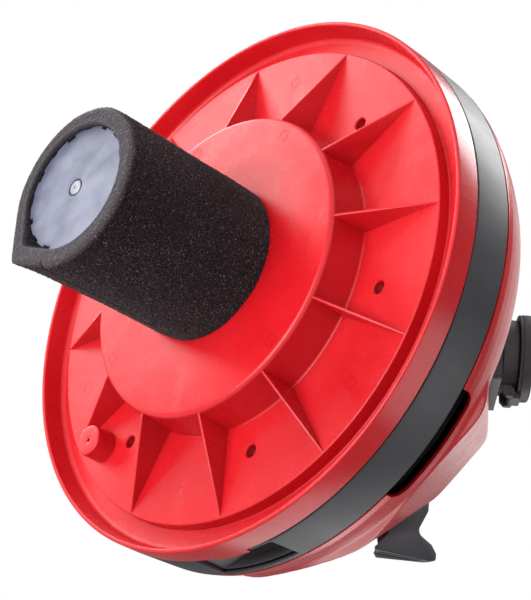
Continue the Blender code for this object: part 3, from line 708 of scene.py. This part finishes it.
def foam_sleeve():
    """A tube bent from foam sheet: its glued seam is a sharp ridge, and open cells roughen its faces."""
    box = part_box("foam_sleeve")
    top, outer, bore = box[1][2] / MM, box[1][0] / MM - 0.6, 42.6
    around, along = 660, 200

    def outside(angle, height):
        share = height / top
        offset = math.remainder(angle - SEAM_ANGLE, math.tau)
        radius = pinched(outer - 0.5, 59.3 + 5.6 * math.exp(-height / 20.0), offset)
        groove = math.exp(-((offset + 0.54) / 0.022) ** 2)
        place = Vector((math.cos(angle) * 2.0, math.sin(angle) * 2.0, share * 3.0))
        lean = 0.6 * math.sin(2 * angle + 0.6) * (1 - share)
        return radius - 2.2 * groove + 0.7 * noise.noise(place) + lean

    def inside(angle, height):
        offset = math.remainder(angle - SEAM_ANGLE, math.tau)
        return pinched(bore, bore + 0.6 + 7.0 * math.exp(-(height / 9.0) ** 2), offset)

    path = [(1.0, top - (top - 4.0) * i / along, 0.0) for i in range(along)]
    path += [(1.0, 4.0 * (1 - math.sin(math.pi / 2 * i / 12)), -4.0 * (1 - math.cos(math.pi / 2 * i / 12)))
             for i in range(13)]
    path += [(1 - i / 12, 0.0, -4.0 * (1 - i / 12) + 1.5 * i / 12) for i in range(1, 13)]
    path += [(0.0, 1.5 * (1 - math.cos(math.pi / 2 * i / 5)), 1.5 * (1 - math.sin(math.pi / 2 * i / 5)))
             for i in range(1, 6)]
    path += [(0.0, 1.5 + (top - 1.5) * i / 16, 0.0) for i in range(1, 17)]
    vertices, faces = [], []
    for share, height, shift in path:
        for i in range(around):
            angle = math.tau * i / around
            wall_in, wall_out = inside(angle, height), outside(angle, height)
            radius = wall_in + (wall_out - wall_in) * share + shift
            x, y = radius * math.cos(angle), radius * math.sin(angle)
            pore = noise.voronoi(Vector((x, y, height)) * 0.85)[0][0] - 0.55
            fuzz = noise.noise(Vector((x, y, height)) * 2.3)
            rough = (1.25 * pore + 0.7 * fuzz) * (1.0 if share > 0 else 0.3)
            level = 1.0 if height > 3.0 else 0.45 + 0.55 * height / 3.0
            if top - height < 0.5:
                rough = 0.0
            lift = 0.0 if height > 1.0 else max(0.0, 0.55 * (0.35 + rough)) * min(share * 6, 1.0)
            radius += rough * level
            vertices.append((radius * math.cos(angle), radius * math.sin(angle), height + lift))
    rings = len(path)
    for k in range(rings):
        for i in range(around):
            j, m = (i + 1) % around, (k + 1) % rings
            faces.append((k * around + i, k * around + j, m * around + j, m * around + i))
    body = make("foam_filter", vertices, faces, sharp=180)
    return piece(body, FOAM, "sleeve", "foam", "foam_sleeve")


# End cap

def end_cap():
    top = node_high("filter_end_cap")
    under = CAP_FACE + 3.0
    profile = rounded([
        (0, under, 0), (CAGE_R - 3.7, under, 0), (CAGE_R - 3.7, top, 0), (CAGE_R - 2.5, top, 0),
        (CAGE_R - 2.5, under, 0), (CAP_R, under, 0.5), (CAP_R, CAP_FACE, 0.5), (CAP_R - 3.6, CAP_FACE, 0),
        (CAP_R - 8.0, CAP_FACE, 0), (9.0, CAP_FACE, 0), (6.0, CAP_FACE, 0.3),
        (5.8, CAP_FACE + 1.2, 0.2), (0, CAP_FACE + 1.2, 0)], closed=False, steps=4)
    body = lathe("cap_disc", profile, closed=False, segments=192)
    tools = []
    for i in range(16):
        wide = 5.2 if i % 3 else 3.4
        deep = (1.0, 1.9, 1.3, 2.5)[i % 4]
        tools.append(prism("notch", sector(CAP_R - deep, CAP_R + 3, wide, 22.5 * i + 8.0, 6),
                           CAP_FACE - 1, under + 0.4))
    combine(body, tools)
    soften(body, 0.25, 2, 60)
    piece(body, CAP, "head", "cap_plastic", "filter_end_cap")
    rivet = lathe("cap_rivet", rounded([
        (0, CAP_FACE + 0.9, 0), (4.9, CAP_FACE + 0.9, 0.2), (4.9, CAP_FACE - 0.1, 0.7),
        (1.0, CAP_FACE - 0.5, 0.2), (0.6, CAP_FACE + 0.3, 0.1), (0, CAP_FACE + 0.3, 0)],
        closed=False, steps=4), closed=False, segments=64)
    piece(rivet, RIVET, "head", "steel")


# Lidded socket

LID_R = 30.5
LID_LOW, LID_HIGH = 33.2, 42.75
PLINTH_HALF = 29.5
PLINTH_TOP = 20.7
HINGE_X, HINGE_Z = 31.4, 29.4


def hinge_place():
    pin = Matrix.Translation((HINGE_X * MM, 0, HINGE_Z * MM))
    return socket_place() @ pin @ Matrix.Rotation(math.pi / 2, 4, "X")


def hinge_line(name, radius, half_length):
    return prism(name, circle(radius, 28), -half_length, half_length, hinge_place())


def socket():
    place = socket_place()
    half = PLINTH_HALF
    outline = rounded([(half, half, 6), (-half, half, 6), (-half, -half, 6), (half, -half, 6)], steps=8)
    plinth = prism("plinth_block", outline, -8.0, PLINTH_TOP, place)
    levels = [0.30 + 0.03 * i for i in range(24)] + [1.035, 1.05]
    seat = dome_guide("seat", levels)
    combine(plinth, [seat])
    combine(plinth, [prism("bore", circle(21.9, 64), -20, PLINTH_TOP + 1, place)])
    soften(plinth, 1.2, 3, 50)
    piece(plinth, BLACK, "head", "black_plastic", "socket_plinth")

    low = PLINTH_TOP + 0.3
    neck = lathe("socket_neck", rounded([
        (26.2, LID_LOW - 0.3, 0.6), (27.0, low + 1.5, 0.3), (26.4, low, 0.3), (21.5, low, 0),
        (21.5, -4.0, 0.6), (0, -4.0, 0), (0, 16.0, 0), (19.6, 16.0, 0.8), (19.6, LID_LOW - 1.2, 0.3),
        (20.6, LID_LOW - 0.3, 0.2)]), segments=128, place=place)
    ears = []
    pin = HINGE_Z - low
    ear = rounded([(25.6, pin - 6.7, 0), (HINGE_X - 1.0, pin - 6.7, 1), (HINGE_X + 2.6, pin - 3.6, 1.5),
                   (HINGE_X + 2.6, pin + 2.2, 2.2), (HINGE_X - 2.6, pin + 2.2, 1), (25.6, pin - 0.7, 0)])
    for side in (-1, 1):
        beside = Matrix.Translation((0, side * 8.0 * MM, low * MM))
        swing = place @ beside @ Matrix.Rotation(math.pi / 2, 4, "X")
        ears.append(prism("ear", ear, -1.6, 1.6, swing))
    combine(neck, ears, "UNION")
    pins = [prism("pin_hole", circle(2.5, 24, (side * 9.5, 0)), 2, 17, place) for side in (-1, 1)]
    combine(neck, pins + [hinge_line("ear_bore", 1.25, 12.0)])
    piece(neck, BLACK, "head", "black_plastic", "socket_body")

    seam = LID_LOW + 2.0
    lid = lathe("socket_flap", rounded([
        (0, LID_HIGH - 0.5, 0), (20.5, LID_HIGH - 0.5, 0.4), (21.5, LID_HIGH, 0.5), (LID_R, LID_HIGH, 2.2),
        (LID_R, seam + 0.5, 0.2), (LID_R - 0.6, seam + 0.4, 0), (LID_R - 0.6, seam - 0.3, 0),
        (LID_R - 0.2, seam - 0.4, 0.2), (LID_R - 0.2, LID_LOW, 0.7), (21.0, LID_LOW, 0.3),
        (20.4, LID_LOW + 1.0, 0.3), (0, LID_LOW + 1.0, 0)],
        closed=False), closed=False, segments=128, place=place)
    under = LID_LOW - HINGE_Z + 0.3
    arm = prism("arm", rounded([(-12, under, 0), (-2.5, under, 0.3), (-2.5, 0, 0), (2.5, 0, 0),
                                (2.5, 6.6, 1.4), (-12, 8.0, 0)]), -6.0, 6.0, hinge_place())
    combine(lid, [arm], "UNION")
    combine(lid, [hinge_line("knuckle", 2.6, 6.0)], "UNION")
    combine(lid, [hinge_line("knuckle_bore", 1.25, 12.0)])
    piece(lid, BLACK, "lid", "black_plastic", "socket_lid")


def dome_guide(name, levels):
    """The dome's outside with a hair's gap, as a solid that cuts what sits on it."""
    rings = dome_surface(-0.3, levels)
    vertices = [point for ring in rings for point in ring]
    return make(name, vertices, ring_faces(len(rings)))


# Cord hooks, handle, switch and gland

HOOK_Y, HOOK_HALF = 4.5, 8.5


def cord_hook(node, side):
    """An arm out of the dome's shoulder and a leaf-shaped paddle, hollow and ribbed on its outer face."""
    r = RIM_R
    corners = [(0.462, 0.90, 0), (0.455, 1.075, 0), (0.51, 1.072, 4), (0.613, 1.012, 4),
               (0.634, 1.096, 5), (0.660, 1.124, 3), (0.688, 1.122, 3), (0.702, 1.080, 4),
               (0.757, 0.768, 1.5), (0.726, 0.802, 4), (0.674, 0.852, 3), (0.61, 0.86, 0)]
    outline = rounded([(x * r * side, z * r, f) for x, z, f in corners], steps=6)
    place = Matrix.Translation((0, HOOK_Y * MM, LIP_Z * MM)) @ Matrix.Rotation(math.pi / 2, 4, "X")
    body = prism(node + "_arm", outline, -HOOK_HALF, HOOK_HALF, place)
    groove = [(x * r * side, z * r) for x, z in ((0.684, 1.05), (0.76, 1.05), (0.80, 0.80), (0.735, 0.83))]
    combine(body, [prism("groove", groove, middle - 2.1, middle + 2.1, place) for middle in (-3.4, 3.4)])
    near, leaf_foot, tip = HOOK_Y - HOOK_HALF, 0.765, 1.124
    for corner in body.data.vertices:
        x, y, z = corner.co / MM
        outwards = min(1.0, max(0.0, (abs(x) / r - 0.53) / 0.08))
        level = (z - LIP_Z) / r
        rise = (level - leaf_foot) / (tip - leaf_foot)
        slim = (y - near) * (1 - outwards * (0.42 + 0.33 * rise * rise))
        corner.co.y = (near + slim) * MM
        if level < leaf_foot + 0.04 and abs(x) > 0.70 * r:
            corner.co.z = (z + 1.2 * slim) * MM
    levels = [0.5 + 0.03 * i for i in range(18)] + [1.035, 1.05]
    combine(body, [dome_guide("seat", levels)])
    soften(body, 0.8, 3, 45)
    return piece(body, BLACK, "head", "black_plastic", node)


def carry_handle():
    """A rounded bar bent into an arch along Y, with both feet on the dome's flat top."""
    low, high = node_low("carry_handle"), node_high("carry_handle")
    front, back = node_low("carry_handle", 1), node_high("carry_handle", 1)
    half_width, half_thick = 15.0, 6.8
    path = rounded([(front + half_thick, low, 0), (front + half_thick, high - half_thick, 15),
                    (back - half_thick, high - half_thick, 15), (back - half_thick, low, 0)],
                   closed=False, steps=12)
    section = rounded([(half_width, half_thick, 4), (-half_width, half_thick, 4),
                       (-half_width, -half_thick, 4), (half_width, -half_thick, 4)], steps=5)
    vertices, faces = [], []
    count, last = len(section), len(path) - 1
    for k in range(last + 1):
        ahead = (Vector(path[min(k + 1, last)]) - Vector(path[max(k - 1, 0)])).normalized()
        for x, out in section:
            vertices.append((x, path[k][0] - ahead.y * out, path[k][1] + ahead.x * out))
    for k in range(last):
        faces += [(k * count + i, k * count + (i + 1) % count, (k + 1) * count + (i + 1) % count,
                   (k + 1) * count + i) for i in range(count)]
    faces += [list(range(count)), list(range(last * count, (last + 1) * count))]
    body = make("handle_arch", vertices, faces, sharp=50)
    return piece(body, GRIP, "head", "black_plastic", "carry_handle")


def switch():
    place = switch_place()
    rim = rounded([(24, 16, 3), (-24, 16, 3), (-24, -16, 3), (24, -16, 3)], steps=6)
    window = [(-18.6, -10.6), (18.6, -10.6), (18.6, 10.6), (-18.6, 10.6)]
    bezel = prism("bezel_frame", rim, 0.3, 2.0, place)
    combine(bezel, [prism("opening", window, -4, 4, place)])
    soften(bezel, 0.6, 3, 50)
    piece(bezel, BLACK, "head", "black_plastic", "switch_bezel")
    outline = rounded([(-14.4, 1.5, 0.8), (-12.5, 3.6, 1.2), (0, 2.2, 18), (12.5, 3.6, 1.2), (14.4, 1.5, 0.8),
                       (9, -5.5, 1), (-9, -5.5, 1)], steps=6)
    rocker = prism("rocker_cap", outline, -7.6, 7.6, place @ Matrix.Rotation(math.pi / 2, 4, "X"))
    soften(rocker, 0.5, 3, 60)
    piece(rocker, ROCKER, "rocker", "rocker_plastic", "switch_rocker")


def cord_gland():
    profile = rounded([(4.2, 14.0, 0.4), (7.6, 14.0, 0.8), (8.6, 5.0, 0), (12.5, 4.2, 1.2), (12.5, 1.2, 0.3),
                       (9.0, 1.2, 0), (9.0, -6.0, 0.5), (4.2, -6.0, 0.3)])
    body = lathe("gland_ring", profile, segments=96, place=gland_place())
    return piece(body, RUBBER, "head", "black_plastic", "cord_gland")


lower_housing()
band()
latch_pocket("latch_pocket_right", 0)
latch_pocket("latch_pocket_left", 180)
dome_cover()
foam_sleeve()
end_cap()
socket()
cord_hook("cord_hook_right", 1)
cord_hook("cord_hook_left", -1)
carry_handle()
switch()
cord_gland()


# Materials of the CAD nodes that keep their own shape

KEPT = {
    "lid_hinge_pin": BLACK, "exhaust_baffle": BLACK_PAINTED_SHADE, "filter_cage": BLACK, "float_ball": FLOAT,
    "inlet_seal": RUBBER,
    "motor_shroud": BLACK_PAINTED_SHADE, "switch_body": BLACK_PAINTED_SHADE, "stator": CORE, "armature": COPPER,
    "commutator": COPPER, "brush_holder_left": COPPER, "brush_holder_right": COPPER, "cooling_fan": BLACK,
}
REPLACED = {
    "lower_housing", "band_ring", "latch_pocket_right", "latch_pocket_left", "dome_cover", "foam_sleeve",
    "filter_end_cap", "socket_plinth", "socket_body", "socket_lid", "cord_hook_right", "cord_hook_left",
    "carry_handle", "switch_bezel", "switch_rocker", "cord_gland",
}
for node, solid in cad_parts.items():
    if node not in REPLACED:
        for slot in solid.material_slots:
            slot.material = KEPT.get(node, STEEL)


# Floor, light and camera; metres from here on

FLOOR_HALF = 9.0
FLOOR_Z = -0.0004


def floor():
    """A pale floor seen only from above, so that a camera below it looks at the head's underside."""
    mesh = bpy.data.meshes.new("studio_floor")
    corners = [(-1, -1), (1, -1), (1, 1), (-1, 1)]
    mesh.from_pydata([(x * FLOOR_HALF, y * FLOOR_HALF, FLOOR_Z) for x, y in corners], [], [(0, 1, 2, 3)])
    ground = bpy.data.objects.new("studio_floor", mesh)
    bpy.context.collection.objects.link(ground)
    n = Nodes("floor_paint")
    n.set(Roughness=0.8, Emission_Color=(1.0, 1.0, 1.0, 1.0), Emission_Strength=0.32)
    paint = n.ramp(n.noise(2.0), ((0.2, (0.80, 0.80, 0.81)), (0.8, (0.86, 0.86, 0.86))))
    n.surface(paint)
    clear = n.add("ShaderNodeBsdfTransparent")
    mix = n.add("ShaderNodeMixShader")
    n.join(n.add("ShaderNodeNewGeometry").outputs["Backfacing"], mix.inputs[0])
    n.join(n.shader.outputs[0], mix.inputs[1])
    n.join(clear.outputs[0], mix.inputs[2])
    n.join(mix.outputs[0], n.tree.nodes["Material Output"].inputs["Surface"])
    mesh.materials.append(n.material)
    ground.visible_shadow = False


CAMERA_TARGET = Vector((0.002, 0.0015, 0.1771))
CAMERA_DISTANCE = 1.3394
CAMERA_LENS = 119.7
CAMERA_AZIMUTH = math.radians(37.147)
CAMERA_ELEVATION = math.radians(-38.155)
CAMERA_ROLL = math.radians(-119.578)


def camera_axes():
    forward = Vector((-math.sin(CAMERA_AZIMUTH) * math.cos(CAMERA_ELEVATION),
                      math.cos(CAMERA_AZIMUTH) * math.cos(CAMERA_ELEVATION), -math.sin(CAMERA_ELEVATION)))
    level = forward.cross(Vector((0, 0, 1))).normalized()
    upright = level.cross(forward)
    up = upright * math.cos(CAMERA_ROLL) + level * math.sin(CAMERA_ROLL)
    return forward.cross(up), up, forward


def camera():
    right, up, forward = camera_axes()
    lens = bpy.data.cameras.new("camera")
    lens.lens = CAMERA_LENS
    lens.sensor_width = 36.0
    eye = bpy.data.objects.new("camera", lens)
    bpy.context.collection.objects.link(eye)
    turn = Matrix((right, up, -forward)).transposed().to_4x4()
    eye.matrix_world = Matrix.Translation(CAMERA_TARGET - forward * CAMERA_DISTANCE) @ turn
    bpy.context.scene.camera = eye


LIGHT_TARGET = Vector((0, 0, 0.18))
ROOM_STRENGTH = 0.24
# Name; place as right, up and towards the camera from the target; size; watts
SOFTBOXES = (
    ("key_behind_left", (-1.2, 1.0, -1.1), 1.1, 72.0), ("fill_left", (-1.0, 0.3, 0.95), 0.9, 27.0),
    ("rim_upper_right", (0.95, 0.72, -0.75), 0.7, 14.0), ("side_right", (1.2, -0.6, 0.35), 0.8, 4.6),
    ("rim_low", (0.35, -1.25, -0.4), 0.9, 6.0), ("overhead", (0.9, -0.2, -1.4), 1.0, 2.6),
)


def softbox(name, place, target, size, power):
    """A square area light at a place given as right, up and towards the camera from the target."""
    right, up, forward = camera_axes()
    lamp = bpy.data.lights.new(name, "AREA")
    lamp.size = size
    lamp.energy = power
    body = bpy.data.objects.new(name, lamp)
    bpy.context.collection.objects.link(body)
    body.location = target + right * place[0] + up * place[1] - forward * place[2]
    body.rotation_euler = (target - body.location).to_track_quat("-Z", "Y").to_euler()
    body.visible_camera = False


def lights():
    for name, place, size, power in SOFTBOXES:
        softbox(name, place, LIGHT_TARGET, size, power)
    world = bpy.data.worlds.new("studio")
    world.use_nodes = True
    tree = world.node_tree
    room = tree.nodes["Background"]
    room.inputs["Color"].default_value = (1, 0.99, 1, 1)
    room.inputs["Strength"].default_value = ROOM_STRENGTH
    backdrop = tree.nodes.new("ShaderNodeBackground")
    backdrop.inputs["Color"].default_value = (1, 1, 1, 1)
    mix = tree.nodes.new("ShaderNodeMixShader")
    path = tree.nodes.new("ShaderNodeLightPath")
    tree.links.new(path.outputs["Is Camera Ray"], mix.inputs[0])
    tree.links.new(room.outputs[0], mix.inputs[1])
    tree.links.new(backdrop.outputs[0], mix.inputs[2])
    tree.links.new(mix.outputs[0], tree.nodes["World Output"].inputs["Surface"])
    bpy.context.scene.world = world
    bpy.context.scene.view_settings.view_transform = "Standard"


floor()
camera()
lights()
